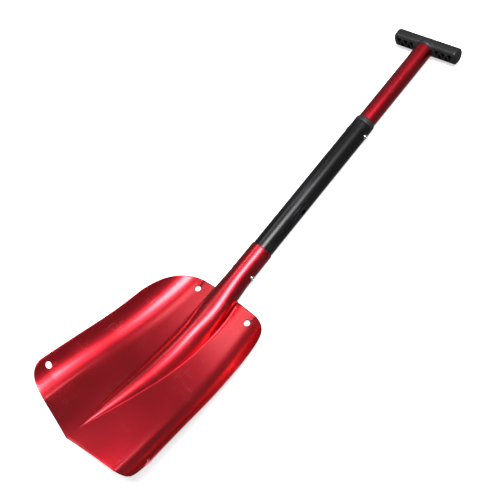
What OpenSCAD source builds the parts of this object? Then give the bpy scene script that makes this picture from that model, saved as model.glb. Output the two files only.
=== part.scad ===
// Collapsible avalanche shovel: pressed aluminium blade with a hollow centre ridge and a
// rolled socket, a two-section telescopic shaft locked by snap buttons, and a moulded T-grip.
// It lies scoop side up. +Y runs up the shaft to the grip, +X is the right side of the blade,
// and the origin is at the bottom centre of the box around the whole shovel.

/* [Blade] */
// Length of the blade measured along its centre line
blade_len = 302; // [260:1:330]
// Half width of the blade floor at its rear end
floor_half_rear = 59; // [52:1:66]
// Half width of the blade floor at its front end
floor_half_front = 78; // [70:1:84]
// Sheet thickness
sheet_t = 1.6; // [1.2:0.1:2.4]
// Radius of the lengthwise dish behind the straight front part
dish_radius = 412; // [380:4:460]
// Angle of the straight front part to the shaft, in degrees
dish_angle = 24.3; // [20:0.1:28]
// Bend radius where the floor turns up into the side wall
wall_radius = 33; // [26:1:42]
// Slope of the side wall, in degrees
wall_angle = 56; // [46:1:62]
// Width of the flat strip of side wall above the bend
wall_strip = 19; // [12:1:24]
// How far the middle of the front edge stands ahead of its corners
front_vee = 20; // [8:1:26]
// How far the floor falls from the middle to the sides at the front edge
front_crown = 11; // [2:1:18]
// Diameter of the four lashing holes
lash_hole_d = 10; // [6:0.5:12]

/* [Shaft] */
// Outer diameter of the blade socket
socket_od = 35; // [34:0.5:38]
// Length of the closed part of the blade socket
socket_len = 82; // [74:1:94]
// Depth of the flat dressed along the welded seam under the socket
seam_flat = 0.4; // [0.2:0.05:0.5]
// Outer diameter of the middle tube
middle_od = 32.5; // [32:0.1:32.6]
// Wall thickness of the middle tube
middle_wall = 1.25; // [1:0.05:1.3]
// Length of the middle tube that sits inside the socket
middle_insert = 76; // [70:1:80]
// Length of the middle tube above the socket mouth
middle_show = 252; // [240:1:270]
// Outer diameter of the upper tube
upper_od = 28.4; // [28:0.1:28.6]
// Wall thickness of the upper tube
upper_wall = 1.2; // [1:0.05:1.5]
// Distance from the snap button to the lower end of the upper tube
upper_tail = 33; // [28:1:38]
// Shortening of the shaft from the long to the short setting
shaft_travel = 155; // [120:1:156]

/* [Snap buttons] */
// Diameter of a snap button
button_d = 8; // [7:0.2:8.4]
// Diameter of the holes for the snap buttons
button_hole_d = 8.6; // [8.5:0.1:9]
// Height of a snap button above the outer tube
button_out = 2.5; // [2:0.1:3]
// Thickness of the spring strip
strip_t = 0.8; // [0.6:0.1:1]

/* [Grip] */
// Length of the grip bar from end to end
grip_len = 115; // [105:1:125]
// Thickness of the grip bar along the shaft
grip_deep = 22.5; // [20:0.5:25]
// Thickness of the grip bar across the shaft
grip_tall = 24.5; // [22:0.5:27]

/* [Hidden] */
$fn = 64;

// ---- places along the shaft, counted from the socket mouth ----
lower_button_y = -44;
stow_hole_y = 82;
upper_button_y = stow_hole_y + shaft_travel;
collar_lip = 9;
grip_y = 429;
middle_id = middle_od - 2 * middle_wall;
upper_id = upper_od - 2 * upper_wall;
socket_id = middle_od + 0.2;
upper_tube_low = upper_button_y - upper_tail;
upper_tube_top = grip_y + 2;

// ---- blade centre line: an arc, then a straight front part ----
dish_start = 1;
blade_rear_y = -socket_len;
blade_rear_z = -11;
arc_len = dish_radius * (dish_angle - dish_start) * PI / 180;
function dish_phi(s) = min(dish_angle, dish_start + s / dish_radius * 180 / PI);
function straight(s) = max(0, s - arc_len);
function line_y(s) = blade_rear_y
    - dish_radius * (sin(dish_phi(s)) - sin(dish_start)) - straight(s) * cos(dish_angle);
function line_z(s) = blade_rear_z
    + dish_radius * (cos(dish_start) - cos(dish_phi(s))) + straight(s) * sin(dish_angle);

// ---- blade outline on the flattened sheet ----
rear_sweep = 3;
rear_corner = [59, 92];
front_corner = [33, 32];
function quarter(t) = t >= 1 ? 0 : 1 - sqrt(max(0, 1 - (1 - t) * (1 - t)));
function floor_half(s) = floor_half_rear
    + (floor_half_front - floor_half_rear) * min(1, s / (blade_len - front_corner[1]));
bend_len = wall_radius * wall_angle * PI / 180;
function half_cut(s) = floor_half(s) + bend_len + wall_strip
    - rear_corner[0] * quarter(s / rear_corner[1])
    - front_corner[0] * quarter((blade_len - s) / front_corner[1]);

// ---- centre ridge: socket-sized at the rear, running out to a point ahead ----
ridge_len = 278;
ridge_wide = 28;
ridge_rise = socket_od / 2 - blade_rear_z;
ridge_min_half = 2;
ridge_blend = 50;
function ridge_gone(s) = min(1, s / ridge_len);
function ridge_neck(s) = 1 - (1 - socket_od / 2 / ridge_wide) * exp(-s / 22);
function ridge_half(s) = max(ridge_min_half, ridge_wide * (1 - pow(ridge_gone(s), 2.2)) * ridge_neck(s));
function ridge_high(s) = ridge_rise * pow(1 - ridge_gone(s), 1.15);
function ridge_flare(s) = min(1, s / ridge_blend);

// ---- one point of the blade's upper surface ----
// a is the distance from the ridge side along the flattened cross-section
function wall_out(a, f) = a <= f ? a
    : a <= f + bend_len ? f + wall_radius * sin((a - f) / wall_radius * 180 / PI)
    : f + wall_radius * sin(wall_angle) + (a - f - bend_len) * cos(wall_angle);
function wall_up(a, f) = a <= f ? 0
    : a <= f + bend_len ? wall_radius * (1 - cos((a - f) / wall_radius * 180 / PI))
    : wall_radius * (1 - cos(wall_angle)) + (a - f - bend_len) * sin(wall_angle);
function crown_drop(x, s) = front_crown * pow(s / blade_len, 2)
    * (1 - cos(min(90, abs(x) / floor_half_front * 90)));
function vee_back(x, s) = front_vee * min(1, abs(x) / 100) * pow(s / blade_len, 4)
    - rear_sweep * min(1, abs(x) / 60) * pow(max(0, 1 - s / 60), 2);
function on_blade(x, up, s) = let (
        h = up - crown_drop(x, s),
        phi = dish_phi(s),
        back = vee_back(x, s)
    ) [x, line_y(s) + h * sin(phi) + back * cos(phi), line_z(s) + h * cos(phi) - back * sin(phi)];

// ---- grid over the blade: rows run across it, columns run along it ----
corner_rows = 9;
body_rows = 20;
ridge_cols = 9;
panel_cols = 15;
body_start = rear_corner[1];
body_end = blade_len - front_corner[1];
row_s = [
    for (i = [0:corner_rows - 1]) rear_corner[1] * (1 - cos(90 * i / corner_rows)),
    for (i = [0:body_rows - 1]) body_start + (body_end - body_start) * i / body_rows,
    for (i = [corner_rows:-1:0]) blade_len - front_corner[1] * (1 - cos(90 * i / corner_rows))
];
col_k = [for (k = [-ridge_cols - panel_cols:ridge_cols + panel_cols]) k];
// Right half of one row: the ridge's rounded section first, then the panel and side wall
function ridge_pt(k, s) = let (t = 90 * k / ridge_cols, flare = ridge_flare(s))
    [ridge_half(s) * pow(sin(t), 0.72 + 0.28 * flare),
        ridge_high(s) * pow(max(0, cos(t)), 0.72 + 1.18 * flare)];
function panel_pt(k, s) = let (
        w = ridge_half(s),
        a = w + (half_cut(s) - w) * k / panel_cols,
        f = floor_half(s)
    ) [wall_out(a, f), wall_up(a, f)];
// Point of the panel at a distance along the blade and across the flattened sheet
function sheet_pt(s, a, side) =
    on_blade(side * wall_out(a, floor_half(s)), wall_up(a, floor_half(s)), s);
function half_pt(k, s) = k <= ridge_cols ? ridge_pt(k, s) : panel_pt(k - ridge_cols, s);
function grid_pt(k, s) = let (p = half_pt(abs(k), s)) on_blade(sign(k) * p[0], p[1], s);
function unit(v) = v / norm(v);
top_grid = [for (s = row_s) [for (k = col_k) grid_pt(k, s)]];
rows = len(row_s);
cols = len(col_k);
function along(i, j) = top_grid[min(rows - 1, i + 1)][j] - top_grid[max(0, i - 1)][j];
function across(i, j) = top_grid[i][min(cols - 1, j + 1)] - top_grid[i][max(0, j - 1)];
function normal_at(i, j) = unit(cross(along(i, j), across(i, j)));

// ---- lashing holes: [distance along the blade, distance across the flattened sheet] ----
rear_hole = [17, 51.4];
front_hole = [265, 114];
lash_holes = [rear_hole, front_hole];

// ---- grip ----
neck_od = 31.6;
neck_low = 10;
neck_straight = 5;
tube_seat = 0.1;
pin_d = 3;
pin_len = 40;

// Section of the bar: round away from the blade, nearly flat on the blade side
bar_section = [for (t = [0:6:354]) let (p = sin(t) >= 0 ? 1 : 0.5)
    [grip_deep / 2 * sin(t) * pow(abs(sin(t)) + 1e-9, p - 1),
        grip_tall / 2 * cos(t) * pow(abs(cos(t)) + 1e-9, p - 1)]];

// ---- box around the whole shovel, which sets the origin ----
y_min = line_y(blade_len);
y_max = grip_y + grip_deep / 2;
z_min = seam_flat - socket_od / 2;
to_origin = [0, -(y_min + y_max) / 2, -z_min];

// A cylinder along the shaft, between two distances from the socket mouth
module shaft_rod(d, y0, y1, fn = 96) {
    translate([0, y0, 0]) rotate([-90, 0, 0]) cylinder(d = d, h = y1 - y0, $fn = fn);
}

// A tube along the shaft
module shaft_tube(od, id, y0, y1) {
    difference() {
        shaft_rod(od, y0, y1);
        shaft_rod(id, y0 - 1, y1 + 1);
    }
}

// Holes through both sides of a tube for a pair of snap buttons
module button_holes(y) {
    translate([0, y, 0]) rotate([0, 90, 0]) cylinder(d = button_hole_d, h = 60, center = true);
}

// Closed sheet between the blade's upper surface and its offset
module blade_sheet() {
    low_grid = [for (i = [0:rows - 1]) [for (j = [0:cols - 1])
        top_grid[i][j] - sheet_t * sign(normal_at(i, j)[2] + 0.001) * normal_at(i, j)]];
    points = concat([for (r = top_grid) each r], [for (r = low_grid) each r]);
    n = rows * cols;
    function at(i, j) = i * cols + j;
    skin = [for (i = [0:rows - 2]) for (j = [0:cols - 2])
        each [[at(i, j), at(i, j + 1), at(i + 1, j + 1)], [at(i, j), at(i + 1, j + 1), at(i + 1, j)]]];
    under = [for (f = skin) [f[0] + n, f[2] + n, f[1] + n]];
    rear = [for (j = [0:cols - 2])
        each [[at(0, j), at(0, j) + n, at(0, j + 1) + n], [at(0, j), at(0, j + 1) + n, at(0, j + 1)]]];
    last = rows - 1;
    front = [for (j = [0:cols - 2])
        each [[at(last, j + 1), at(last, j + 1) + n, at(last, j) + n],
            [at(last, j + 1), at(last, j) + n, at(last, j)]]];
    left = [for (i = [0:rows - 2])
        each [[at(i + 1, 0), at(i + 1, 0) + n, at(i, 0) + n], [at(i + 1, 0), at(i, 0) + n, at(i, 0)]]];
    far = cols - 1;
    right = [for (i = [0:rows - 2])
        each [[at(i, far), at(i, far) + n, at(i + 1, far) + n],
            [at(i, far), at(i + 1, far) + n, at(i + 1, far)]]];
    polyhedron(points, concat(skin, under, rear, front, left, right), convexity = 8);
}

// Puts a drill through the sheet, square to it, at a place given on the flattened blade
module drill(place, side) {
    spot = sheet_pt(place[0], place[1], side);
    down_blade = sheet_pt(place[0] + 1, place[1], side) - sheet_pt(place[0] - 1, place[1], side);
    outward = sheet_pt(place[0], place[1] + 1, side) - sheet_pt(place[0], place[1] - 1, side);
    up = side * unit(cross(down_blade, outward));
    translate(spot) rotate([0, acos(up[2]), atan2(up[1], up[0])])
        cylinder(d = lash_hole_d, h = 16, center = true);
}

// Pressed blade with its hollow ridge, side walls and lashing holes
module blade() {
    color("crimson") translate(to_origin) difference() {
        blade_sheet();
        for (place = lash_holes) for (side = [-1, 1]) drill(place, side);
    }
}

// Rolled socket: a closed tube, with a tongue that runs out to a point under the blade floor
module blade_socket() {
    tongue = 38;
    tongue_top = blade_rear_z - sheet_t - 0.2;
    lap = 1;
    color("crimson") translate(to_origin) difference() {
        union() {
            shaft_tube(socket_od, socket_id, -socket_len, 0);
            intersection() {
                shaft_tube(socket_od, socket_id, -socket_len - tongue, -socket_len + lap);
                rotate([90, 0, 90]) linear_extrude(height = socket_od, center = true) polygon([
                    [-socket_len + lap, tongue_top], [-socket_len + lap, -socket_od],
                    [-socket_len - tongue, -socket_od], [-socket_len - tongue, z_min + 0.6],
                    [-socket_len, tongue_top]]);
            }
        }
        button_holes(lower_button_y);
        translate([0, 0, z_min - 5]) cube([socket_od, 4 * socket_len, 10], center = true);
    }
}

// Middle tube, with its lower, stowing and upper button holes
module middle_tube() {
    color("black") translate(to_origin) difference() {
        shaft_tube(middle_od, middle_id, -middle_insert, middle_show);
        for (y = [lower_button_y, stow_hole_y, upper_button_y]) button_holes(y);
    }
}

// Plastic reducing collar: a chamfered lip on the tube's end and a spigot inside it
module middle_collar() {
    spigot = 8;
    bore = upper_od + 0.2;
    chamfer = 2.5;
    color("dimgray") translate(to_origin) translate([0, middle_show, 0]) rotate([-90, 0, 0])
        rotate_extrude($fn = 96) polygon([
            [bore / 2, -spigot], [middle_id / 2 - 0.02, -spigot], [middle_id / 2 - 0.02, 0],
            [middle_od / 2, 0], [middle_od / 2, collar_lip - chamfer],
            [bore / 2 + 0.7, collar_lip], [bore / 2, collar_lip]]);
}

// Bent strip spring: two arms that spread from a round bend to a pair of buttons
module clip_strip(button_y, back) {
    bend_r = 6;
    arm = 46;
    wide = 9;
    foot = 7;
    // One edge of the strip, from the left foot round the bend to the right foot
    function edge(r, b) = concat(
        [[-b, button_y - foot], [-b, button_y + foot]],
        [for (a = [180:-10:0]) [r * cos(a), button_y + arm + r * sin(a)]],
        [[b, button_y + foot], [b, button_y - foot]]);
    inner = edge(bend_r - strip_t, back - strip_t);
    last = len(inner) - 1;
    linear_extrude(height = wide, center = true)
        polygon(concat(edge(bend_r, back), [for (i = [last:-1:0]) inner[i]]));
}

// Snap button: flange inside the tube, straight shank and a domed end with a small dimple
module snap_button(side, y, seat, tube_r) {
    flange_d = 10.4;
    flange_t = 1;
    tip = tube_r + button_out;
    dome = 2.2;
    r = button_d / 2;
    translate([0, y, 0]) rotate([0, side * 90, 0]) rotate_extrude() polygon(concat(
        [[0, seat - flange_t], [flange_d / 2, seat - flange_t], [flange_d / 2, seat], [r, seat]],
        [for (a = [0:15:75]) [r - 1.6 + 1.6 * cos(a), tip - dome + dome * sin(a)]],
        [[1.2, tip], [1, tip - 0.5], [0, tip - 0.5]]));
}

upper_seat = 11.8;
lower_seat = 13.9;

module lower_clip_spring() {
    color("silver") translate(to_origin) clip_strip(lower_button_y, lower_seat - 1);
}

module lower_button_left() {
    color("gainsboro") translate(to_origin)
        snap_button(-1, lower_button_y, lower_seat, socket_od / 2);
}

module lower_button_right() {
    color("gainsboro") translate(to_origin)
        snap_button(1, lower_button_y, lower_seat, socket_od / 2);
}

// Upper tube, with one pair of button holes
module upper_tube() {
    color("crimson") translate(to_origin) difference() {
        shaft_tube(upper_od, upper_id, upper_tube_low, upper_tube_top);
        button_holes(upper_button_y);
        translate([0, grip_y - 3, 0]) rotate([0, 90, 0]) cylinder(d = pin_d, h = 60, center = true);
    }
}

// Plastic bush on the lower end of the upper tube, which slides in the middle tube
module upper_glide_bush() {
    lip = 5;
    spigot = 10;
    color("dimgray") translate(to_origin) translate([0, upper_tube_low, 0]) rotate([-90, 0, 0])
        rotate_extrude($fn = 96) polygon([
            [upper_id / 2 - 1.6, -lip], [middle_id / 2 - 0.9, -lip], [middle_id / 2 - 0.1, -lip + 0.8],
            [middle_id / 2 - 0.1, 0], [upper_id / 2 - 0.02, 0], [upper_id / 2 - 0.02, spigot],
            [upper_id / 2 - 1.6, spigot]]);
}

module upper_clip_spring() {
    color("silver") translate(to_origin) clip_strip(upper_button_y, upper_seat - 1);
}

module upper_button_left() {
    color("gainsboro") translate(to_origin)
        snap_button(-1, upper_button_y, upper_seat, middle_od / 2);
}

module upper_button_right() {
    color("gainsboro") translate(to_origin)
        snap_button(1, upper_button_y, upper_seat, middle_od / 2);
}

// One row of triangular pockets in the grip's blade-side face, with ribs left between them
module grip_pockets(side) {
    rib = 1.6;
    high = grip_tall / 2 - 3.9;
    first = 17;
    last = grip_len / 2 - 5;
    count = 5;
    floor_y = grip_y - grip_deep / 2 + 7;
    step = (last - first) / (count + 1);
    for (i = [0:count - 1]) {
        up = i % 2 == 0 ? 1 : -1;
        x0 = side * (first + i * step);
        translate([0, floor_y, 0]) rotate([90, 0, 0]) linear_extrude(height = grip_deep)
            polygon([[x0 + side * rib, up * high], [x0 + side * (2 * step - rib), up * high],
                [x0 + side * step, -up * (high - 2.4)]]);
    }
}

// Neck: a short collar around the tube, closed by a dome inside the far side of the bar
module neck() {
    y0 = grip_y - neck_low;
    dome_y = y0 + neck_straight;
    dome_h = grip_y + grip_deep / 2 - 0.5 - dome_y;
    rotate([-90, 0, 0]) rotate_extrude($fn = 96) polygon(concat(
        [[0, y0], [neck_od / 2 - 1, y0], [neck_od / 2, y0 + 1]],
        [for (a = [0:10:90]) [neck_od / 2 * cos(a), dome_y + dome_h * sin(a)]]));
}

// Moulded grip bar with domed ends, a neck for the tube and a ribbed blade-side face
module t_grip() {
    color("darkslategray") translate(to_origin) difference() {
        union() {
            intersection() {
                translate([0, grip_y, 0]) rotate([90, 0, 90])
                    linear_extrude(height = grip_len + 2, center = true) polygon(bar_section);
                translate([0, grip_y, 0]) sphere(d = grip_len, $fn = 128);
            }
            neck();
        }
        shaft_rod(upper_od + 2 * tube_seat, grip_y - grip_deep, upper_tube_top + 0.2);
        for (side = [-1, 1]) grip_pockets(side);
        translate([0, grip_y - 3, 0]) rotate([0, 90, 0]) cylinder(d = pin_d, h = pin_len + 1, center = true);
    }
}

// Pin through the neck that holds the grip on the upper tube
module grip_pin() {
    color("silver") translate(to_origin) translate([0, grip_y - 3, 0]) rotate([0, 90, 0])
        cylinder(d = pin_d - 0.05, h = pin_len, center = true);
}

blade();
blade_socket();
middle_tube();
middle_collar();
lower_clip_spring();
lower_button_left();
lower_button_right();
upper_tube();
upper_glide_bush();
upper_clip_spring();
upper_button_left();
upper_button_right();
t_grip();
grip_pin();
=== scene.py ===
"""Looks of the collapsible avalanche shovel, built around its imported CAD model."""
import math

import bpy
import bmesh
from mathutils import Matrix, Vector


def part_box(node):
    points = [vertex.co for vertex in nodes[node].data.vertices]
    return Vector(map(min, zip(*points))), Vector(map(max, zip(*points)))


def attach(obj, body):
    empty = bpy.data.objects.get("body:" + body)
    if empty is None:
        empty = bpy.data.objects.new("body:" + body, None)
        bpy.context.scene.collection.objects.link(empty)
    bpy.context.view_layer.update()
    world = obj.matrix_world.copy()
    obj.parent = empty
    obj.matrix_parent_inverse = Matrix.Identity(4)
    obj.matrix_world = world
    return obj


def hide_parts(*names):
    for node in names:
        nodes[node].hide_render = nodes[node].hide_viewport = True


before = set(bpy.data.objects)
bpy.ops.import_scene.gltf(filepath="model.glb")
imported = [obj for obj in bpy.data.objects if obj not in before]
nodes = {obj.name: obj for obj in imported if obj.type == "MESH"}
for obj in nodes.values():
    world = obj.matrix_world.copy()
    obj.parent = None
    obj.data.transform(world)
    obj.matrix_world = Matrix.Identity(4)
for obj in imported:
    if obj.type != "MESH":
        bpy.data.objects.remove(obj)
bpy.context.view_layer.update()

MM = 0.001
DEG = math.pi / 180

# The shaft runs along Y. Shapes are worked out in millimetres from the middle of the socket's
# mouth, which the CAD gives, and put in place by to_frame.
socket_low, socket_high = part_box("blade_socket")
SOCKET_R, SEAM_FLAT = 17.5, 0.4
MOUTH = Vector((0.0, socket_high.y, socket_low.z + (SOCKET_R - SEAM_FLAT) * MM))


def to_frame(p):
    return MOUTH + Vector(p) * MM


def smooth(t):
    t = min(1.0, max(0.0, t))
    return t * t * (3 - 2 * t)


def new_object(name, bm):
    """Turns a bmesh into an object of the scene."""
    mesh = bpy.data.meshes.new(name)
    bmesh.ops.recalc_face_normals(bm, faces=bm.faces)
    bm.to_mesh(mesh)
    bm.free()
    thing = bpy.data.objects.new(name, mesh)
    bpy.context.scene.collection.objects.link(thing)
    return thing


def add_object(name, bm, material, body, stands_for):
    """Turns a bmesh into a smooth-shaded piece that rides on a body and replaces CAD nodes."""
    piece = new_object(name, bm)
    piece.data.shade_smooth()
    piece.data.materials.append(material)
    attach(piece, body)
    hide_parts(*stands_for)


# ------------------------------------------------------------------ materials
# a noise rarely leaves these limits
NOISE_LOW, NOISE_HIGH = 0.3, 0.7


class Nodes:
    """A small helper that adds and joins shader nodes."""

    def __init__(self, name):
        self.material = bpy.data.materials.new(name)
        self.material.use_nodes = True
        self.tree = self.material.node_tree
        self.shader = self.tree.nodes["Principled BSDF"]
        self.coords = self.tree.nodes.new("ShaderNodeTexCoord").outputs["Object"]

    def set(self, **values):
        for key, value in values.items():
            self.shader.inputs[key.replace("_", " ")].default_value = value

    def link(self, a, b):
        self.tree.links.new(a, b)

    def stretch(self, scale, turn=(0, 0, 0)):
        node = self.tree.nodes.new("ShaderNodeMapping")
        node.inputs["Scale"].default_value = scale
        node.inputs["Rotation"].default_value = turn
        self.link(self.coords, node.inputs["Vector"])
        return node.outputs["Vector"]

    def noise(self, scale, detail=2.0, rough=0.5, vector=None):
        node = self.tree.nodes.new("ShaderNodeTexNoise")
        node.inputs["Scale"].default_value = scale
        node.inputs["Detail"].default_value = detail
        node.inputs["Roughness"].default_value = rough
        self.link(vector or self.coords, node.inputs["Vector"])
        return node.outputs["Fac"]

    def ramp(self, value, dark, light, start=NOISE_LOW, end=NOISE_HIGH):
        node = self.tree.nodes.new("ShaderNodeValToRGB")
        for element, place, colour in zip(node.color_ramp.elements, (start, end), (dark, light)):
            element.position = place
            element.color = (*colour, 1)
        self.link(value, node.inputs["Fac"])
        return node.outputs["Color"]

    def span(self, value, low, high, start=NOISE_LOW, end=NOISE_HIGH):
        node = self.tree.nodes.new("ShaderNodeMapRange")
        node.inputs["From Min"].default_value = start
        node.inputs["From Max"].default_value = end
        node.inputs["To Min"].default_value = low
        node.inputs["To Max"].default_value = high
        self.link(value, node.inputs["Value"])
        return node.outputs["Result"]

    def math(self, kind, a, b):
        node = self.tree.nodes.new("ShaderNodeMath")
        node.operation = kind
        for socket, value in zip(node.inputs, (a, b)):
            if isinstance(value, (int, float)):
                socket.default_value = value
            else:
                self.link(value, socket)
        return node.outputs["Value"]

    def mix(self, factor, a, b):
        node = self.tree.nodes.new("ShaderNodeMix")
        node.data_type = "RGBA"
        for socket, value in ((node.inputs[0], factor), (node.inputs[6], a), (node.inputs[7], b)):
            if isinstance(value, (int, float)):
                socket.default_value = value
            elif isinstance(value, tuple):
                socket.default_value = (*value, 1)
            else:
                self.link(value, socket)
        return node.outputs[2]

    def bump(self, height, distance, strength, under=None):
        node = self.tree.nodes.new("ShaderNodeBump")
        node.inputs["Distance"].default_value = distance
        node.inputs["Strength"].default_value = strength
        self.link(height, node.inputs["Height"])
        if under is not None:
            self.link(under, node.inputs["Normal"])
        return node.outputs["Normal"]

    def convex_edges(self, start, end):
        """From 0 to 1 along convex edges, broken up by noise."""
        point = self.tree.nodes.new("ShaderNodeNewGeometry").outputs["Pointiness"]
        edge = self.span(point, 0.0, 1.0, start, end)
        return self.math("MULTIPLY", edge, self.span(self.noise(180, 3), 0.0, 1.0, 0.4, 0.62))

    def scratches(self, scale, turn, width=0.012):
        """Long thin lines: a stretched noise, cut to a narrow band."""
        lines = self.noise(1.0, 1.0, 0.4, self.stretch(scale, turn))
        near = self.math("ABSOLUTE", self.math("SUBTRACT", lines, 0.5), 0.0)
        line = self.span(near, 1.0, 0.0, 0.0, width)
        patch = self.span(self.noise(22, 2), 0.0, 1.0, 0.52, 0.66)
        return self.math("MULTIPLY", line, patch)


RED_DEEP = (0.40, 0.006, 0.014)
RED_LIGHT = (0.45, 0.008, 0.019)
RED_GRAIN = (0.50, 0.016, 0.032)


def red_anodised():
    """Satin red anodised aluminium: a coloured metal under a thin clear oxide layer."""
    m = Nodes("red_anodised")
    m.set(Metallic=1.0, Coat_Weight=0.45, Coat_Roughness=0.23, Coat_IOR=1.5, Specular_IOR_Level=0.5)
    cloud = m.noise(14, 3)
    fine = m.noise(900, 3, 0.6)
    rolled = m.noise(1.0, 3, 0.55, m.stretch((750, 26, 750)))
    colour = m.ramp(cloud, RED_DEEP, RED_LIGHT)
    colour = m.mix(m.span(rolled, 0.0, 0.14, 0.35, 0.7), colour, RED_GRAIN)
    scratch = m.math(
        "ADD",
        m.scratches((25, 320, 25), (0.1, 0.0, 0.5)),
        m.scratches((320, 22, 60), (0.0, 0.2, -0.3)),
    )
    colour = m.mix(m.math("MULTIPLY", scratch, 0.2), colour, (0.75, 0.2, 0.24))
    # lighter pink on convex edges: partly edge wear, partly a painted highlight along the rims
    colour = m.mix(m.math("MULTIPLY", m.convex_edges(0.56, 0.64), 0.35), colour, (0.8, 0.3, 0.33))
    m.link(colour, m.shader.inputs["Base Color"])
    rough = m.math("ADD", m.span(fine, -0.03, 0.03), m.span(cloud, 0.33, 0.37))
    rough = m.math("ADD", rough, m.span(rolled, -0.02, 0.03))
    m.link(m.math("ADD", rough, m.math("MULTIPLY", scratch, 0.08)), m.shader.inputs["Roughness"])
    grain = m.bump(fine, 0.00003, 0.2)
    m.link(m.bump(rolled, 0.00003, 0.2, grain), m.shader.inputs["Normal"])
    return m.material


def black_anodised():
    """Black anodised tube: drawn along its length, with faint slide marks."""
    m = Nodes("black_anodised")
    m.set(Metallic=0.2, Coat_Weight=0.12, Coat_Roughness=0.3, Coat_IOR=1.5, Specular_IOR_Level=0.3)
    cloud = m.noise(18, 3)
    fine = m.noise(1100, 3, 0.6)
    drawn = m.noise(1.0, 3, 0.6, m.stretch((900, 14, 900)))
    colour = m.ramp(cloud, (0.003, 0.003, 0.0035), (0.005, 0.005, 0.006))
    colour = m.mix(m.span(drawn, 0.0, 0.25, 0.4, 0.7), colour, (0.010, 0.010, 0.012))
    marks = m.scratches((300, 5, 300), (0.0, 0.0, 0.02), 0.02)
    colour = m.mix(m.math("MULTIPLY", marks, 0.3), colour, (0.16, 0.16, 0.17))
    colour = m.mix(m.math("MULTIPLY", m.convex_edges(0.56, 0.66), 0.5), colour, (0.3, 0.3, 0.31))
    m.link(colour, m.shader.inputs["Base Color"])
    rough = m.math("ADD", m.span(cloud, 0.27, 0.31), m.span(drawn, -0.03, 0.04))
    m.link(rough, m.shader.inputs["Roughness"])
    grain = m.bump(fine, 0.00001, 0.1)
    m.link(m.bump(drawn, 0.00002, 0.08, grain), m.shader.inputs["Normal"])
    return m.material


def moulded_plastic(name, dark, light, rough_low, rough_high, spark=700.0, depth=0.00008):
    """Moulded plastic: fine spark-eroded texture, slow mottling and rubbed edges."""
    m = Nodes(name)
    m.set(Specular_IOR_Level=0.45)
    cloud = m.noise(30, 3)
    pits = m.noise(spark, 4, 0.65)
    colour = m.ramp(cloud, dark, light, 0.32, 0.68)
    rubbed = tuple(min(1.0, 2.2 * c + 0.01) for c in light)
    colour = m.mix(m.math("MULTIPLY", m.convex_edges(0.53, 0.6), 0.55), colour, rubbed)
    dust = m.span(m.noise(260, 4, 0.7), 0.0, 0.16, 0.58, 0.75)
    colour = m.mix(dust, colour, rubbed)
    m.link(colour, m.shader.inputs["Base Color"])
    rough = m.math("ADD", m.span(cloud, rough_low, rough_high), m.span(pits, -0.05, 0.05))
    m.link(rough, m.shader.inputs["Roughness"])
    m.link(m.bump(pits, depth, 0.5), m.shader.inputs["Normal"])
    return m.material


def spring_steel():
    """Rolled strip steel: lengthwise rolling lines and a slight blueing."""
    m = Nodes("spring_steel")
    m.set(Metallic=1.0)
    rolled = m.noise(1.0, 4, 0.6, m.stretch((1400, 30, 1400)))
    cloud = m.noise(60, 3)
    colour = m.ramp(cloud, (0.42, 0.42, 0.45), (0.58, 0.57, 0.56))
    colour = m.mix(m.span(rolled, 0.0, 0.35, 0.4, 0.7), colour, (0.3, 0.3, 0.32))
    m.link(colour, m.shader.inputs["Base Color"])
    m.link(m.span(rolled, 0.24, 0.4), m.shader.inputs["Roughness"])
    m.link(m.bump(rolled, 0.00003, 0.5), m.shader.inputs["Normal"])
    return m.material


def chrome():
    """Bright plated steel, with fine handling haze and a few rubbed spots."""
    m = Nodes("chrome")
    m.set(Metallic=1.0)
    haze = m.noise(420, 4, 0.65)
    cloud = m.noise(120, 3)
    colour = m.ramp(cloud, (0.8, 0.8, 0.82), (0.9, 0.9, 0.9))
    m.link(colour, m.shader.inputs["Base Color"])
    m.link(m.span(haze, 0.1, 0.24, 0.35, 0.7), m.shader.inputs["Roughness"])
    m.link(m.bump(haze, 0.00002, 0.3), m.shader.inputs["Normal"])
    return m.material


RED = red_anodised()
BLACK = black_anodised()
COLLAR_PLASTIC = moulded_plastic(
    "black_plastic", (0.012, 0.012, 0.013), (0.02, 0.02, 0.022), 0.42, 0.52
)
GREY_PLASTIC = moulded_plastic(
    "grey_plastic", (0.14, 0.14, 0.15), (0.19, 0.19, 0.2), 0.45, 0.55
)
GRIP_PLASTIC = moulded_plastic(
    "grip_plastic", (0.008, 0.008, 0.009), (0.014, 0.014, 0.016), 0.4, 0.5, 520.0, 0.00012
)
STEEL = spring_steel()
CHROME = chrome()

CARRIED = {
    "blade": RED,
    "blade_socket": RED,
    "upper_tube": RED,
    "middle_tube": BLACK,
    "middle_collar": COLLAR_PLASTIC,
    "upper_glide_bush": GREY_PLASTIC,
    "t_grip": GRIP_PLASTIC,
    "lower_clip_spring": STEEL,
    "upper_clip_spring": STEEL,
    "grip_pin": STEEL,
    "lower_button_left": CHROME,
    "lower_button_right": CHROME,
    "upper_button_left": CHROME,
    "upper_button_right": CHROME,
}
for name, material in CARRIED.items():
    slots = nodes[name].data.materials
    slots.clear()
    slots.append(material)

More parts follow.
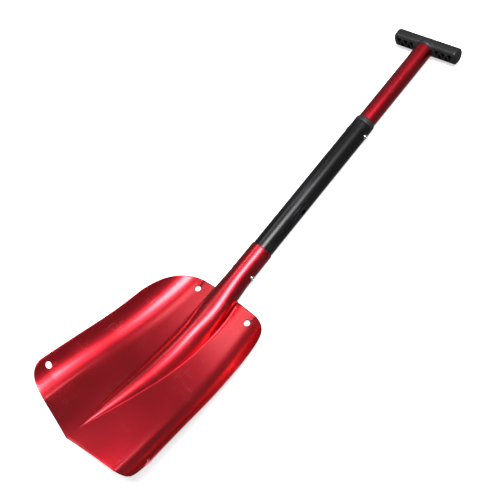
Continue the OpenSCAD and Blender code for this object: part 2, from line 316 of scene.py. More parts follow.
# ------------------------------------------------------------------ blade and socket
# Sizes are in millimetres. A place on the blade is (s, a): s runs down the centre line from the
# rear edge, and a runs across the flattened sheet. Corners are quarters of an ellipse, (a, s).
BLADE_LEN = 302.0
SHEET_T, SOCKET_T = 1.6, 1.15
SOCKET_LEN = 82.0
FLOOR_REAR, FLOOR_FRONT = 59.0, 78.0
DISH_R, DISH_START, DISH_END = 412.0, 1 * DEG, 24.3 * DEG
BLADE_REAR_Z = -11.0
WALL_R, WALL_ANGLE, WALL_STRIP = 33.0, 56 * DEG, 17.6
BEND_LEN = WALL_R * WALL_ANGLE
BEND_EASE, BEND_STEP = 14.0, 0.5
REAR_CORNER = (59.0, 92.0)
FRONT_CORNER = (33.0, 32.0)
FRONT_CROWN = 11.0
FRONT_VEE, VEE_HALF = 20.0, 100.0
REAR_SWEEP, SWEEP_LEN = 3.0, 60.0
RIDGE_LEN, RIDGE_WIDE, RIDGE_MIN = 278.0, 28.0, 2.0
RIDGE_NECK, RIDGE_FLARE, RIDGE_MERGE = 42.0, 95.0, 80.0
RIDGE_NARROWING, RIDGE_FALL = 2.2, 0.95
REAR_POWER, SIDE_POWER, CREST_POWER = 0.72, 0.28, 1.18
REAR_HALF = 15.8
RIDGE_RISE = SOCKET_R - BLADE_REAR_Z
THICKNESS_CHANGE = 3.0
HOLE_R = 5.0
REAR_HOLE = (17.0, 51.4)
FRONT_HOLE = (265.0, 114.0)
NICK_HALF, NICK_FADE = 1.6, 3.0
REAR_NICK, REAR_NICK_SLANT, REAR_NICK_END = 1.1, 0.25, 13.5
FRONT_NICK, FRONT_NICK_IN, FRONT_NICK_FADE = 0.5, 1.0, 4.0
FRONT_NICK_START, FRONT_NICK_END = 250.0, 262.0
BUTTON_HOLE_R = 4.3
LOWER_BUTTON_Y = -44.0
EDGE = 0.45


def floor_half(s):
    share = min(1.0, s / (BLADE_LEN - FRONT_CORNER[1]))
    return FLOOR_REAR + (FLOOR_FRONT - FLOOR_REAR) * share


def full_cut(s):
    return floor_half(s) + BEND_LEN + WALL_STRIP


def on_blade(x, up, s):
    """A point at width x, height up above the floor and distance s down the centre line."""
    phi = min(DISH_END, DISH_START + s / DISH_R)
    straight = max(0.0, s - DISH_R * (DISH_END - DISH_START))
    y = -SOCKET_LEN - DISH_R * (math.sin(phi) - math.sin(DISH_START)) - straight * math.cos(phi)
    z = BLADE_REAR_Z + DISH_R * (math.cos(DISH_START) - math.cos(phi)) + straight * math.sin(phi)
    outward = min(90.0, abs(x) / FLOOR_FRONT * 90) * DEG
    crown = FRONT_CROWN * (s / BLADE_LEN) ** 2 * (1 - math.cos(outward))
    back = FRONT_VEE * min(1.0, abs(x) / VEE_HALF) * (s / BLADE_LEN) ** 4
    back -= REAR_SWEEP * min(1.0, abs(x) / SWEEP_LEN) * max(0.0, 1 - s / SWEEP_LEN) ** 2
    h = up - crown
    y += h * math.sin(phi) + back * math.cos(phi)
    z += h * math.cos(phi) - back * math.sin(phi)
    return Vector((x, y, z))


def nick(s, a):
    """Depth of the short pressed creases beside the lashing holes."""
    across = a - REAR_HOLE[1] - (REAR_HOLE[0] - s) * REAR_NICK_SLANT
    rear = -REAR_NICK * math.exp(-(across / NICK_HALF) ** 2)
    rear *= smooth(s / NICK_FADE) * smooth((REAR_NICK_END - s) / NICK_FADE)
    across = a - FRONT_HOLE[1] + FRONT_NICK_IN
    front = -FRONT_NICK * math.exp(-(across / NICK_HALF) ** 2)
    front *= smooth((s - FRONT_NICK_START) / FRONT_NICK_FADE)
    front *= smooth((FRONT_NICK_END - s) / NICK_FADE)
    return rear + front


def bend_profile():
    """The floor-to-wall bend, eased in and out, as points one BEND_STEP apart."""
    points, out, up, x = [], -BEND_EASE, 0.0, -BEND_EASE
    while x < BEND_LEN + BEND_EASE:
        points.append((out, up))
        gone = (x + BEND_STEP / 2 + BEND_EASE) / (BEND_LEN + 2 * BEND_EASE)
        angle = WALL_ANGLE * smooth(gone)
        out += BEND_STEP * math.cos(angle)
        up += BEND_STEP * math.sin(angle)
        x += BEND_STEP
    return points


BEND = bend_profile()


def panel(s, a, side):
    """A point of the panel, at distance s down the blade and a across the flattened sheet."""
    f = floor_half(s)
    step = (a - f + BEND_EASE) / BEND_STEP
    if step <= 0:
        out, up = a, 0.0
    elif step < len(BEND) - 1:
        k = int(step)
        out, up = (p + (q - p) * (step - k) for p, q in zip(BEND[k], BEND[k + 1]))
        out += f
    else:
        past = (step - len(BEND) + 1) * BEND_STEP
        out = f + BEND[-1][0] + past * math.cos(WALL_ANGLE)
        up = BEND[-1][1] + past * math.sin(WALL_ANGLE)
    return on_blade(side * out, up + nick(s, a), s)


def ridge_half(s):
    gone = min(1.0, s / RIDGE_LEN)
    neck = 1 - (1 - REAR_HALF / RIDGE_WIDE) * math.exp(-s / RIDGE_NECK)
    return max(RIDGE_MIN, RIDGE_WIDE * (1 - gone**RIDGE_NARROWING) * neck)


def ridge_section(t, s):
    """Width and height of the ridge: the tube's section at the rear, flared and sharper ahead."""
    flare = smooth(s / RIDGE_FLARE)
    high = RIDGE_RISE * (1 - min(1.0, s / RIDGE_LEN)) ** RIDGE_FALL
    late = Vector((
        ridge_half(s) * math.sin(t) ** (REAR_POWER + SIDE_POWER * flare),
        high * max(0.0, math.cos(t)) ** (REAR_POWER + CREST_POWER * flare),
    ))
    quarter = SOCKET_R * math.pi / 2
    along = t / (math.pi / 2) * (quarter - BLADE_REAR_Z)
    if along < quarter:
        early = Vector((SOCKET_R * math.sin(along / SOCKET_R), SOCKET_R * math.cos(along / SOCKET_R)))
    else:
        narrowed = (SOCKET_R - REAR_HALF) * (quarter - along) / BLADE_REAR_Z
        early = Vector((SOCKET_R - narrowed, quarter - along))
    early.y -= BLADE_REAR_Z
    early.x *= ridge_half(s) / REAR_HALF if s > 0 else 1
    early.y *= high / RIDGE_RISE
    return early.lerp(late, smooth(s / RIDGE_MERGE))


# rows run from the socket's mouth, -TUBE_ROWS, past the blade's rear edge, 0, to its front, ROWS
ROWS, TUBE_ROWS, TONGUE_ROWS = 104, 28, 13
RIDGE_COLS, PANEL_COLS, LOWER_COLS = 20, 44, 8
BUTTON_ROWS, BUTTON_COLS = range(1 - TUBE_ROWS, -6), range(4, RIDGE_COLS - 1)
TUBE_TURN = 129 * DEG
TUBE_MERGE = 14.0
TONGUE_LEN, TONGUE_TOP, TONGUE_FALL, TONGUE_MARGIN = 36.0, 12.8, 4.4, 0.2
SEAM_Z = SEAM_FLAT - SOCKET_R
SEAM_GAP, SEAM_GROOVE = 0.05, 0.2
CREST_ROWS, CREST_PASSES, CREST_KEPT = range(-9, 24), 90, 0.4
CREASE_START, CREASE_REACH, CREASE_PASSES = 2, 3, 5
GRID_PASSES = 120
HOLE_MARGIN, HOLE_RINGS = 1.6, 3


def outline():
    """The panel's border on the flattened sheet: rear row, side column and front row."""
    def arc(low, high, count, point):
        return [point(low + (high - low) * i / count) for i in range(count + 1)]

    def rear(t):
        s = REAR_CORNER[1] * (1 - math.cos(t))
        return s, full_cut(s) - REAR_CORNER[0] * (1 - math.sin(t))

    def front(t):
        s = BLADE_LEN - FRONT_CORNER[1] * (1 - math.cos(t))
        return s, full_cut(s) - FRONT_CORNER[0] * (1 - math.sin(t))

    split_rear, split_front, fine = 50 * DEG, 45 * DEG, 200
    rear_row = [(0.0, ridge_half(0)), *arc(0, split_rear, fine, rear)]
    side = arc(split_rear, math.pi / 2, fine, rear) + arc(math.pi / 2, split_front, fine, front)
    front_row = [(BLADE_LEN, RIDGE_MIN), *arc(0, split_front, fine, front)]
    return rear_row, side, front_row


def spread(line, count):
    """Points at equal steps along a line of points."""
    length = [0.0]
    for p, q in zip(line, line[1:]):
        length.append(length[-1] + math.dist(p, q))
    points, k = [], 0
    for i in range(count + 1):
        want = length[-1] * i / count
        while k < len(length) - 2 and length[k + 1] < want:
            k += 1
        share = (want - length[k]) / max(1e-9, length[k + 1] - length[k])
        points.append(tuple(a + (b - a) * share for a, b in zip(line[k], line[k + 1])))
    return points


def panel_grid():
    """Places of the panel's vertices on the flattened sheet, evened out inside the border."""
    rear_row, side, front_row = (
        spread(line, count) for line, count in zip(outline(), (PANEL_COLS, ROWS, PANEL_COLS))
    )
    crease = [(BLADE_LEN * i / ROWS, ridge_half(BLADE_LEN * i / ROWS)) for i in range(ROWS + 1)]
    grid = []
    for i in range(ROWS + 1):
        v, row = i / ROWS, []
        for j in range(PANEL_COLS + 1):
            u = j / PANEL_COLS
            row.append([
                (1 - u) * crease[i][c] + u * side[i][c] + (1 - v) * rear_row[j][c] + v * front_row[j][c]
                - (1 - u) * (1 - v) * crease[0][c] - u * (1 - v) * side[0][c]
                - (1 - u) * v * crease[ROWS][c] - u * v * side[ROWS][c]
                for c in (0, 1)
            ])
        grid.append(row)
    for _ in range(GRID_PASSES):
        for i in range(1, ROWS):
            for j in range(1, PANEL_COLS):
                near = (grid[i - 1][j], grid[i + 1][j], grid[i][j - 1], grid[i][j + 1])
                grid[i][j] = [sum(p[c] for p in near) / 4 for c in (0, 1)]
    return grid


def cut_hole(bm, places, verts, centre, radius, point):
    """Cuts a round hole in a grid of vertices, closes in on it with rings, and gives its cells."""
    inside = [
        key for key, place in places.items()
        if math.hypot(place[0] - centre[0], place[1] - centre[1]) < radius + HOLE_MARGIN
    ]
    i0, i1 = min(k[0] for k in inside) - 1, max(k[0] for k in inside) + 1
    j0, j1 = min(k[1] for k in inside) - 1, max(k[1] for k in inside) + 1
    ring = [(i, j0) for i in range(i0, i1)] + [(i1, j) for j in range(j0, j1)]
    ring += [(i, j1) for i in range(i1, i0, -1)] + [(i0, j) for j in range(j1, j0, -1)]
    for i in range(i0 + 1, i1):
        for j in range(j0 + 1, j1):
            bm.verts.remove(verts[i, j])
    loops = [[verts[key] for key in ring]]
    for k in range(1, HOLE_RINGS + 1):
        share, loop = k / HOLE_RINGS, []
        for key in ring:
            ds, da = places[key][0] - centre[0], places[key][1] - centre[1]
            far = math.hypot(ds, da)
            dist = far + (radius - far) * share
            place = point(centre[0] + ds / far * dist, centre[1] + da / far * dist)
            loop.append(bm.verts.new(to_frame(place)))
        loops.append(loop)
    for outer, inner in zip(loops, loops[1:]):
        for k in range(len(ring)):
            n = (k + 1) % len(ring)
            bm.faces.new((outer[k], outer[n], inner[n], inner[k]))
    return {(i, j) for i in range(i0, i1) for j in range(j0, j1)}


def add_quads(bm, verts, rows, cols, skip=()):
    """Faces between the neighbours in a grid of vertices, apart from the skipped cells."""
    for r in rows:
        for k in cols:
            if (r, k) not in skip:
                bm.faces.new((verts[r, k], verts[r, k + 1], verts[r + 1, k + 1], verts[r + 1, k]))


def face_outward(bm, top):
    """Turns all faces of a skin outward, where top is a vertex on its upper side."""
    bmesh.ops.recalc_face_normals(bm, faces=bm.faces)
    bm.normal_update()
    if top.normal.z < 0:
        bmesh.ops.reverse_faces(bm, faces=bm.faces)
        bm.normal_update()


def tube_place(y, arc, side):
    """A point of the socket's outside, an arc's length away from its top."""
    angle = arc / SOCKET_R
    return Vector((side * SOCKET_R * math.sin(angle), y, SOCKET_R * math.cos(angle)))


def ridge_points():
    """The socket's upper part and the ridge, which share their columns."""
    points = {}
    for r in range(-TUBE_ROWS, ROWS + 1):
        for k in range(-RIDGE_COLS, RIDGE_COLS + 1):
            side = -1 if k < 0 else 1
            turn = math.pi / 2 * abs(k) / RIDGE_COLS
            if r >= 0:
                s = BLADE_LEN * r / ROWS
                x, up = ridge_section(turn, s)
                points[r, k] = on_blade(side * x, up, s)
            else:
                back = -SOCKET_LEN * r / TUBE_ROWS
                x, up = ridge_section(turn, 0)
                arc = SOCKET_R * TUBE_TURN * abs(k) / RIDGE_COLS
                flared = Vector((side * x, back - SOCKET_LEN, BLADE_REAR_Z + up))
                points[r, k] = flared.lerp(tube_place(flared.y, arc, side), smooth(back / TUBE_MERGE))
    return points


def ease_crest(points):
    """Bends the crest gently where the tube runs into the ridge."""
    for _ in range(CREST_PASSES):
        eased = {}
        for r in CREST_ROWS:
            for k in range(1 - RIDGE_COLS, RIDGE_COLS):
                here, mean = points[r, k], (points[r - 1, k] + points[r + 1, k]) / 2
                eased[r, k] = Vector((mean.x, here.y, mean.z)).lerp(here, CREST_KEPT)
        points.update(eased)


def ease_crease(ridge, panels):
    """Makes the crease at the ridge's foot a small radius, not a sharp line."""
    reach, foot = CREASE_REACH, RIDGE_COLS
    for _ in range(CREASE_PASSES):
        for side in (-1, 1):
            for i in range(CREASE_START, ROWS + 1):
                row = [ridge[i, side * k] for k in range(foot - reach - 1, foot)]
                row += [panels[side, i, j] for j in range(reach + 1)]
                eased = [(p + q * 2 + r) / 4 for p, q, r in zip(row, row[1:], row[2:])]
                for n in range(reach):
                    ridge[i, side * (foot - reach + n)] = eased[n]
                    panels[side, i, n] = eased[reach + n]
    for side in (-1, 1):
        for i in range(CREASE_START, ROWS + 1):
            ridge[i, side * foot] = panels[side, i, 0]


def cut_button_holes(bm, verts):
    """Cuts the holes in the socket's sides and gives their cells."""
    cells = set()
    for side in (-1, 1):
        places = {}
        for r in BUTTON_ROWS:
            for k in BUTTON_COLS:
                y = -SOCKET_LEN - SOCKET_LEN * r / TUBE_ROWS
                places[r, side * k] = (y, SOCKET_R * TUBE_TURN * k / RIDGE_COLS)
        centre = (LOWER_BUTTON_Y, SOCKET_R * math.pi / 2)
        cells |= cut_hole(
            bm, places, verts, centre, BUTTON_HOLE_R, lambda y, arc: tube_place(y, arc, side)
        )
    return cells


def add_panel(bm, side, grid, panels, ridge_verts):
    """One side of the blade, from the ridge's foot to its edge, with its two lashing holes."""
    verts = {(i, 0): ridge_verts[i, side * RIDGE_COLS] for i in range(ROWS + 1)}
    for i in range(ROWS + 1):
        for j in range(1, PANEL_COLS + 1):
            verts[i, j] = bm.verts.new(to_frame(panels[side, i, j]))
    places = {(i, j): grid[i][j] for i in range(ROWS + 1) for j in range(PANEL_COLS + 1)}
    skip = set()
    for hole in (REAR_HOLE, FRONT_HOLE):
        skip |= cut_hole(bm, places, verts, hole, HOLE_R, lambda s, a: panel(s, a, side))
    add_quads(bm, verts, range(ROWS), range(PANEL_COLS), skip)


def add_underside(bm, ridge, ridge_verts):
    """The socket's underside, closed along its dressed seam, and the tongue ahead of it."""
    lower = {}
    for side in (-1, 1):
        for r in range(-TUBE_ROWS, 1):
            y = -SOCKET_LEN * r / TUBE_ROWS - SOCKET_LEN
            lower[r, side * LOWER_COLS] = ridge_verts[r, side * RIDGE_COLS]
            reach = ridge[r, side * RIDGE_COLS] - tube_place(y, SOCKET_R * TUBE_TURN, side)
            for m in range(1, LOWER_COLS):
                turn = TUBE_TURN + (math.pi - TUBE_TURN) * m / LOWER_COLS
                place = tube_place(y, SOCKET_R * turn, side) + reach * (1 - m / LOWER_COLS) ** 2
                place.z = max(place.z, SEAM_Z + SEAM_GAP)
                lower[r, side * (LOWER_COLS - m)] = bm.verts.new(to_frame(place))
    for r in range(-TUBE_ROWS, 1):
        y = -SOCKET_LEN * r / TUBE_ROWS - SOCKET_LEN
        lower[r, 0] = bm.verts.new(to_frame((0, y, SEAM_Z + SEAM_GROOVE)))
    for p in range(1, TONGUE_ROWS + 1):
        share = p / TONGUE_ROWS
        half = math.acos((TONGUE_TOP + TONGUE_FALL * share) / SOCKET_R)
        y = -SOCKET_LEN - TONGUE_LEN * share
        for m in range(-LOWER_COLS, LOWER_COLS + 1):
            turn = half * m / LOWER_COLS
            groove = SEAM_GROOVE if m == 0 else 0.0
            z = max(SEAM_Z + SEAM_GAP, -SOCKET_R * math.cos(turn)) + groove
            lower[p, m] = bm.verts.new(to_frame((SOCKET_R * math.sin(turn), y, z)))
    add_quads(bm, lower, range(-TUBE_ROWS, TONGUE_ROWS), range(-LOWER_COLS, LOWER_COLS))


def build_sheet():
    """The outer surface of the blade and its rolled socket, as one open skin."""
    bm = bmesh.new()
    ridge = ridge_points()
    ease_crest(ridge)
    grid = panel_grid()
    panels = {
        (side, i, j): panel(*grid[i][j], side)
        for side in (-1, 1) for i in range(ROWS + 1) for j in range(PANEL_COLS + 1)
    }
    ease_crease(ridge, panels)
    verts = {key: bm.verts.new(to_frame(p)) for key, p in ridge.items()}
    skip = cut_button_holes(bm, verts)
    add_quads(bm, verts, range(-TUBE_ROWS, ROWS), range(-RIDGE_COLS, RIDGE_COLS), skip)
    for side in (-1, 1):
        add_panel(bm, side, grid, panels, verts)
    add_underside(bm, ridge, verts)
    face_outward(bm, verts[0, 0])
    return bm


RIM_STEPS, EDGE_SHARE = 6, 0.4


def outward_steps(bm, normal, edge):
    """At each vertex of a skin's border, the way out of the skin and the room for a rounding."""
    outward, step = {}, {}
    for e in bm.edges:
        if not e.is_boundary:
            continue
        middle = e.link_faces[0].calc_center_median()
        for v in e.verts:
            away = (e.verts[1].co - e.verts[0].co).cross(normal[v])
            if away.dot(middle - v.co) > 0:
                away = -away
            outward[v] = outward.get(v, Vector()) + away.normalized()
    for v in outward:
        inner = [e.calc_length() for e in v.link_edges if not e.is_boundary]
        outward[v].normalize()
        step[v] = min(edge, EDGE_SHARE * min(inner)) if inner else edge / 2
    return outward, step


def thicken(bm, thickness, edge):
    """Gives an open skin its thickness below, joined by a half-round edge on every border."""
    bm.verts.index_update()
    top = list(bm.verts)
    normal = {v: v.normal.copy() for v in top}
    depth = {v: thickness(v.co) for v in top}
    outward, step = outward_steps(bm, normal, edge)
    pairs = []
    for e in bm.edges:
        if e.is_boundary:
            loop = e.link_loops[0]
            pairs.append((loop.link_loop_next.vert, loop.vert))
    rims = {}
    for v, out in outward.items():
        skirt, half = [], depth[v] / 2
        for k in range(1, RIM_STEPS):
            t = (90 - 180 * k / RIM_STEPS) * DEG
            shift = out * (step[v] * (math.cos(t) - 1)) + normal[v] * (half * (math.sin(t) - 1))
            skirt.append(bm.verts.new(v.co + shift))
        rims[v] = skirt
    under = {}
    for v in top:
        pull = -outward[v] * step[v] if v in outward else Vector()
        under[v] = bm.verts.new(v.co + pull - normal[v] * depth[v])
    for face in list(bm.faces):
        bm.faces.new([under[v] for v in reversed(face.verts)])
    for v, out in outward.items():
        v.co = v.co - out * step[v]
    for a, b in pairs:
        left, right = [a, *rims[a], under[a]], [b, *rims[b], under[b]]
        for k in range(len(left) - 1):
            bm.faces.new((left[k], right[k], right[k + 1], left[k + 1]))


def sheet_depth(co):
    """Sheet thickness in metres: the rolled tube is drawn a little thinner than the blade."""
    ahead = (MOUTH.y - co.y) / MM - SOCKET_LEN
    below = (MOUTH.z - co.z) / MM
    if below > TONGUE_TOP - TONGUE_MARGIN and ahead > -1:
        return SOCKET_T * MM
    share = smooth((ahead + THICKNESS_CHANGE) / (2 * THICKNESS_CHANGE))
    return (SOCKET_T + (SHEET_T - SOCKET_T) * share) * MM


sheet = build_sheet()
thicken(sheet, sheet_depth, EDGE * MM)
add_object("blade_sheet", sheet, RED, "blade", ("blade", "blade_socket"))

# ------------------------------------------------------------------ tubes
TUBE_AROUND, TUBE_ROW_LEN, TUBE_EDGE = 72, 4.0, 0.3
# a tube's hole is looked for this far around its middle, in millimetres and in columns
NEAR_LEN, NEAR_COLS = 14.0, 9


def tube(node, radius, wall, ends, holes, material, body):
    """A drawn tube along the shaft with rounded rims and round holes through both sides."""
    bm = bmesh.new()
    low, high = ends
    rows = round((high - low) / TUBE_ROW_LEN)
    verts, places = {}, {}

    def at(y, arc):
        return Vector((radius * math.sin(arc / radius), y, radius * math.cos(arc / radius)))

    for r in range(rows + 1):
        y = low + (high - low) * r / rows
        for k in range(TUBE_AROUND):
            arc = 2 * math.pi * radius * k / TUBE_AROUND
            places[r, k] = (y, arc)
            verts[r, k] = bm.verts.new(to_frame(at(y, arc)))
        verts[r, TUBE_AROUND] = verts[r, 0]
    skip = set()
    for hole_y in holes:
        for quarter in (1, 3):
            near = {
                key: place for key, place in places.items()
                if abs(place[0] - hole_y) < NEAR_LEN
                and abs(key[1] - quarter * TUBE_AROUND / 4) < NEAR_COLS
            }
            centre = (hole_y, math.pi * radius * quarter / 2)
            skip |= cut_hole(bm, near, verts, centre, BUTTON_HOLE_R, at)
    add_quads(bm, verts, range(rows), range(TUBE_AROUND), skip)
    face_outward(bm, verts[0, 0])
    thicken(bm, lambda co: wall * MM, TUBE_EDGE * MM)
    add_object(node + "_drawn", bm, material, body, (node,))


MIDDLE_R, MIDDLE_WALL = 16.25, 1.25
MIDDLE_LOW, MIDDLE_TOP = -76.0, 252.0
UPPER_R, UPPER_WALL = 14.2, 1.2
UPPER_LOW, UPPER_TOP = 204.0, 431.0
STOW_HOLE_Y, UPPER_BUTTON_Y = 82.0, 237.0
tube("middle_tube", MIDDLE_R, MIDDLE_WALL, (MIDDLE_LOW, MIDDLE_TOP),
     (LOWER_BUTTON_Y, STOW_HOLE_Y, UPPER_BUTTON_Y), BLACK, "middle_section")
tube("upper_tube", UPPER_R, UPPER_WALL, (UPPER_LOW, UPPER_TOP),
     (UPPER_BUTTON_Y,), RED, "upper_section")


# ------------------------------------------------------------------ turned pieces
def join_rings(bm, a, b):
    """Faces between two rings of vertices, where a ring may be a single vertex."""
    count = max(len(a), len(b))
    for n in range(count):
        m = (n + 1) % count
        ring = [a[n % len(a)], a[m % len(a)], b[m % len(b)], b[n % len(b)]]
        bm.faces.new([v for k, v in enumerate(ring) if v not in ring[:k]])


def turned(profile, origin, axis, steps=96):
    """A profile of (radius, height) points turned about an axis, closed unless it starts on it."""
    axis = Vector(axis).normalized()
    side = axis.orthogonal().normalized()
    other = axis.cross(side)
    bm = bmesh.new()
    rings = []
    for r, h in profile:
        middle = Vector(origin) + axis * h
        turns = [2 * math.pi * n / steps for n in range(steps if r > 0 else 1)]
        rings.append([
            bm.verts.new(to_frame(middle + side * (r * math.cos(t)) + other * (r * math.sin(t))))
            for t in turns
        ])
    if len(rings[0]) > 1:
        rings.append(rings[0])
    for a, b in zip(rings, rings[1:]):
        join_rings(bm, a, b)
    return bm


def corner(p, q, r, cut, steps=4):
    """Points of a curve that rounds the corner q of the line p, q, r."""
    a = q + (p - q).normalized() * cut
    b = q + (r - q).normalized() * cut
    shares = [k / steps for k in range(steps + 1)]
    return [tuple(a * (1 - t) ** 2 + q * (2 * t * (1 - t)) + b * t**2) for t in shares]


CORNER_SHARE = 0.45


def rounded(points, radius, steps=4):
    """Rounds the corners of an open line of (radius, height) points."""
    out = [points[0]]
    for before, here, after in zip(points, points[1:], points[2:]):
        p, q, r = Vector(before), Vector(here), Vector(after)
        cut = min(radius, CORNER_SHARE * (p - q).length, CORNER_SHARE * (r - q).length)
        out += corner(p, q, r, cut, steps)
    return out + [points[-1]]


COLLAR_BORE = 14.3
COLLAR_PLUG = MIDDLE_R - MIDDLE_WALL - 0.02
COLLAR_GROOVE = MIDDLE_R - 0.35


def build_collar():
    """The reducing collar: a plug in the middle tube under a grooved and chamfered ring."""
    points = [
        (COLLAR_BORE, -3), (COLLAR_BORE, -8), (COLLAR_PLUG, -8), (COLLAR_PLUG, 0),
        (MIDDLE_R, 0), (MIDDLE_R, 4.2), (COLLAR_GROOVE, 4.5), (COLLAR_GROOVE, 5.0),
        (MIDDLE_R, 5.3), (MIDDLE_R, 6.6), (COLLAR_BORE + 0.75, 9), (COLLAR_BORE, 9),
        (COLLAR_BORE, -2),
    ]
    collar = turned(rounded(points, 0.35), (0, MIDDLE_TOP, 0), (0, 1, 0))
    add_object("middle_collar_ring", collar, COLLAR_PLASTIC, "middle_section",
               ("middle_collar",))


build_collar()

BUTTON_R, BUTTON_FLANGE_R = 4.0, 5.2
BUTTON_OUT = 2.5
DOME_DEEP, DOME_IN = 1.9, 1.7
LOWER_SEAT, UPPER_SEAT = 13.9, 11.8


def snap_button(node, side, y, seat, tube_r, body):
    """A button with a flange on its seat, a domed head and a small dimple in its tip."""
    tip = tube_r + BUTTON_OUT
    points = [(0, seat - 1), (BUTTON_FLANGE_R, seat - 1), (BUTTON_FLANGE_R, seat)]
    points += [(BUTTON_R, seat), (BUTTON_R, tip - DOME_DEEP)]
    for t in range(15, 91, 15):
        inward, up = DOME_IN * (1 - math.cos(t * DEG)), DOME_DEEP * math.sin(t * DEG)
        points.append((BUTTON_R - inward, tip - DOME_DEEP + up))
    points += [(1.35, tip), (1.15, tip - 0.25), (0.95, tip - 0.8), (0, tip - 0.9)]
    head = turned(rounded(points, 0.15, 2), (0, y, 0), (side, 0, 0), 48)
    add_object(node + "_head", head, CHROME, body, (node,))


for level, y, seat, tube_r in (
    ("lower", LOWER_BUTTON_Y, LOWER_SEAT, SOCKET_R),
    ("upper", UPPER_BUTTON_Y, UPPER_SEAT, MIDDLE_R),
):
    for hand, side in (("left", -1), ("right", 1)):
        snap_button(f"{level}_button_{hand}", side, y, seat, tube_r, f"{level}_{hand}_snap")

# ------------------------------------------------------------------ T-grip
GRIP_Y = 429.0
GRIP_LEN, GRIP_DEEP, GRIP_TALL = 115.0, 22.5, 24.5
CAP_SCALE, CAP_DEEP = 0.86, 1.5
NECK_R, NECK_LOW, NECK_RISE, NECK_GAP = 15.8, 10.0, 5.0, 0.5
BORE_R, BORE_START, BORE_END = 14.3, -22.5, 2.2
POCKETS, POCKET_RIB, POCKET_HIGH = 5, 1.6, GRIP_TALL / 2 - 3.9
POCKET_FIRST, POCKET_LAST = 17.0, GRIP_LEN / 2 - 5
POCKET_TIP, POCKET_ROUND = 2.4, 0.7
POCKET_START, POCKET_END = -20.0, 3.0
TAPER_START, TAPER_END = 1.12, 0.9
BAR_AROUND = 64
SOFT_EDGE = 0.5


def bar_profile(scale):
    """Section of the grip bar: round on the palm side, nearly flat on the blade side."""
    ring = []
    for n in range(BAR_AROUND):
        t = 2 * math.pi * n / BAR_AROUND
        p = 1.0 if math.sin(t) >= 0 else 0.5
        ring.append((
            GRIP_DEEP / 2 * scale * math.sin(t) * (abs(math.sin(t)) + 1e-9) ** (p - 1),
            GRIP_TALL / 2 * scale * math.cos(t) * (abs(math.cos(t)) + 1e-9) ** (p - 1),
        ))
    return ring


def build_bar():
    """The grip's bar, from end cap to end cap."""
    bm = bmesh.new()
    half = GRIP_LEN / 2
    # (scale of the section, distance from the end): a domed cap, a fine step round it, the bar
    stations = [(0.0, 0.0)]
    for t in (15, 30, 45, 60, 72, 82, 90):
        stations.append((CAP_SCALE * math.sin(t * DEG), CAP_DEEP * (1 - math.cos(t * DEG))))
    stations += [(0.9, 1.75), (0.94, 2.1), (0.975, 2.8), (0.993, 3.8), (1.0, 5.0)]
    stations += [(1.0, half * k / 12) for k in range(2, 13)]
    stations += [(s, 2 * half - d) for s, d in reversed(stations[:-1])]
    rings = []
    for scale, depth in stations:
        x = -half + depth
        section = bar_profile(scale) if scale > 0 else [(0, 0)]
        rings.append([bm.verts.new(to_frame((x, GRIP_Y + y, z))) for y, z in section])
    for a, b in zip(rings, rings[1:]):
        join_rings(bm, a, b)
    return bm


def build_neck():
    """The rounded boss around the upper tube."""
    low = GRIP_Y - NECK_LOW
    dome_y = low + NECK_RISE
    dome_h = GRIP_Y + GRIP_DEEP / 2 - NECK_GAP - dome_y
    points = [(0, low), (NECK_R - 1.2, low), (NECK_R - 0.5, low + 0.25), (NECK_R, low + 1)]
    for t in range(0, 90, 6):
        points.append((NECK_R * math.cos(t * DEG), dome_y + dome_h * math.sin(t * DEG)))
    points.append((0, dome_y + dome_h))
    return turned(points, (0, 0, 0), (0, 1, 0))


def build_bore():
    """The blind bore that takes the upper tube's end."""
    start, end = GRIP_Y + BORE_START, GRIP_Y + BORE_END
    points = [(0, start), (BORE_R, start), (BORE_R, end), (0, end)]
    return turned(points, (0, 0, 0), (0, 1, 0))


def prism(points, y_low, y_high):
    """A closed prism along Y from a polygon of (x, z) points, tapered a little."""
    bm = bmesh.new()
    cx, cz = (sum(p[c] for p in points) / len(points) for c in (0, 1))

    def ring(y, grow):
        return [
            bm.verts.new(to_frame((cx + (x - cx) * grow, y, cz + (z - cz) * grow))) for x, z in points
        ]

    low, high = ring(y_low, TAPER_START), ring(y_high, TAPER_END)
    bm.faces.new(low)
    bm.faces.new(high)
    join_rings(bm, low, high)
    return bm


def soft_triangle(corners, radius):
    """A triangle with rounded corners, as a closed list of points."""
    out = []
    for k in range(3):
        p, q, r = Vector(corners[k - 1]), Vector(corners[k]), Vector(corners[(k + 1) % 3])
        angle = (p - q).angle(r - q)
        out += corner(p, q, r, radius / math.tan(angle / 2))
    return out


def build_pockets():
    """The coring of the grip's blade side: rows of triangles that point up and down in turn."""
    step = (POCKET_LAST - POCKET_FIRST) / (POCKETS + 1)
    for side in (-1, 1):
        for n in range(POCKETS):
            up = 1 if n % 2 == 0 else -1
            x = side * (POCKET_FIRST + n * step)
            corners = [
                (x + side * POCKET_RIB, up * POCKET_HIGH),
                (x + side * (2 * step - POCKET_RIB), up * POCKET_HIGH),
                (x + side * step, -up * (POCKET_HIGH - POCKET_TIP)),
            ]
            triangle = soft_triangle(corners, POCKET_ROUND)
            yield prism(triangle, GRIP_Y + POCKET_START, GRIP_Y + POCKET_END)


def apply_modifiers(thing):
    """Puts the result of an object's modifiers in the place of its mesh."""
    graph = bpy.context.evaluated_depsgraph_get()
    mesh = bpy.data.meshes.new_from_object(thing.evaluated_get(graph))
    old = thing.data
    thing.modifiers.clear()
    thing.data = mesh
    bpy.data.meshes.remove(old)


def combine(target, bm, kind):
    """Joins a closed shape to the target, or cuts it out, and applies the result."""
    tool = new_object("tool", bm)
    change = target.modifiers.new("combine", "BOOLEAN")
    change.operation = kind
    change.solver = "EXACT"
    change.object = tool
    apply_modifiers(target)
    bpy.data.objects.remove(tool)


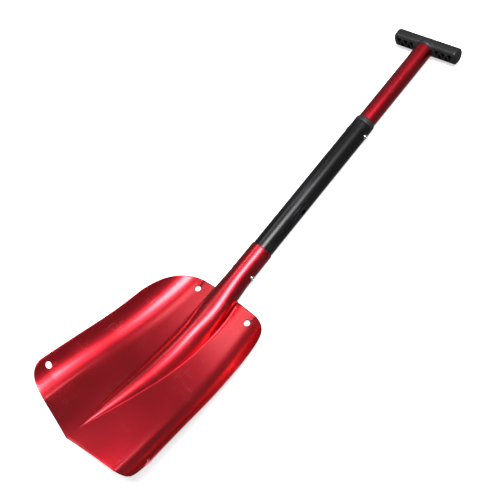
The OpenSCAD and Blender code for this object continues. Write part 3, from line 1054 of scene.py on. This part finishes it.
def build_grip():
    """Bar and neck in one, with the tube's bore, the coring and softened edges."""
    grip = new_object("t_grip_body", build_bar())
    combine(grip, build_neck(), "UNION")
    combine(grip, build_bore(), "DIFFERENCE")
    for pocket in build_pockets():
        combine(grip, pocket, "DIFFERENCE")
    soften = grip.modifiers.new("soften", "BEVEL")
    soften.width = SOFT_EDGE * MM
    soften.segments = 3
    soften.limit_method = "ANGLE"
    soften.angle_limit = 40 * DEG
    apply_modifiers(grip)
    grip.data.shade_smooth()
    grip.data.materials.clear()
    grip.data.materials.append(GRIP_PLASTIC)
    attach(grip, "upper_section")
    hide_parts("t_grip")


build_grip()


# ------------------------------------------------------------------ floor, light and camera
def build_world(stops):
    """A dim sky that brightens from (height, value) to (height, value)."""
    world = bpy.data.worlds.new("studio")
    bpy.context.scene.world = world
    world.use_nodes = True
    tree = world.node_tree
    sky = tree.nodes["Background"]
    ramp = tree.nodes.new("ShaderNodeValToRGB")
    split = tree.nodes.new("ShaderNodeSeparateXYZ")
    place = tree.nodes.new("ShaderNodeTexCoord")
    tree.links.new(place.outputs["Generated"], split.inputs[0])
    tree.links.new(split.outputs["Z"], ramp.inputs["Fac"])
    tree.links.new(ramp.outputs["Color"], sky.inputs["Color"])
    for element, (height, value) in zip(ramp.color_ramp.elements, stops):
        element.position = height
        element.color = (value, value, value, 1)
    sky.inputs["Strength"].default_value = 1.0


def white_paper():
    """Matt white paper that glows a little, as the photo's white ground does."""
    m = Nodes("paper")
    m.set(Specular_IOR_Level=0.1, Emission_Color=(1, 1, 1, 1), Emission_Strength=0.6)
    shade = m.ramp(m.noise(3, 2), (0.9, 0.9, 0.9), (0.93, 0.93, 0.93))
    m.link(shade, m.shader.inputs["Base Color"])
    m.link(m.span(m.noise(300, 2), 0.8, 0.95, 0.0, 1.0), m.shader.inputs["Roughness"])
    return m.material


FLOOR_Z = -0.0004


def build_floor():
    """White paper just under the shovel, so that the two never share a plane."""
    bm = bmesh.new()
    bmesh.ops.create_grid(bm, x_segments=8, y_segments=8, size=4)
    floor = new_object("floor", bm)
    floor.location.z = FLOOR_Z
    floor.data.materials.append(white_paper())
    # the metal mirrors the dim studio instead of the bright paper
    floor.visible_glossy = False
    floor.visible_diffuse = False


# lights and floor are placed in metres, in the frame's axes
LIGHT_DISTANCE = 2.6
LIGHT_AIM = Vector((0.0, -0.15, 0.03))


def softbox(name, towards, width, height, power, roll=0.0):
    """An area light that faces the middle of the shovel from a direction."""
    data = bpy.data.lights.new(name, "AREA")
    data.shape = "RECTANGLE"
    data.size, data.size_y = width, height
    data.energy = power
    lamp = bpy.data.objects.new(name, data)
    bpy.context.scene.collection.objects.link(lamp)
    way = Vector(towards).normalized()
    turn = way.to_track_quat("Z", "Y").to_matrix().to_4x4() @ Matrix.Rotation(roll, 4, "Z")
    lamp.matrix_world = Matrix.Translation(LIGHT_AIM + way * LIGHT_DISTANCE) @ turn


# the photo's viewing angle, in the frame's axes, and the camera's place from the socket's mouth
CAMERA_RIGHT = (0.717, 0.6204, -0.3178)
CAMERA_AHEAD = (-0.5334, 0.1948, -0.8232)
CAMERA_PLACE = (539.3, -212.8, 856.7)
CAMERA_LENS, CAMERA_SENSOR = 50.4, 36.0
SKY_STOPS = ((0.1, 0.21), (0.9, 0.29))


def build_camera():
    """The camera, set and aimed as the photo was taken."""
    data = bpy.data.cameras.new("camera")
    data.lens = CAMERA_LENS
    data.sensor_width = CAMERA_SENSOR
    camera = bpy.data.objects.new("camera", data)
    bpy.context.scene.collection.objects.link(camera)
    right, ahead = Vector(CAMERA_RIGHT).normalized(), Vector(CAMERA_AHEAD).normalized()
    axes = Matrix((right, right.cross(ahead), -ahead)).transposed().to_4x4()
    camera.matrix_world = Matrix.Translation(to_frame(CAMERA_PLACE)) @ axes
    bpy.context.scene.camera = camera


build_world(SKY_STOPS)
build_floor()
softbox("key", towards=(0.32, 0.15, 0.935), width=0.7, height=1.15, power=98.0)
softbox("fill", towards=(-0.45, 0.24, 0.86), width=0.6, height=0.8, power=8.5, roll=-52 * DEG)
build_camera()
bpy.context.scene.view_settings.view_transform = "Standard"
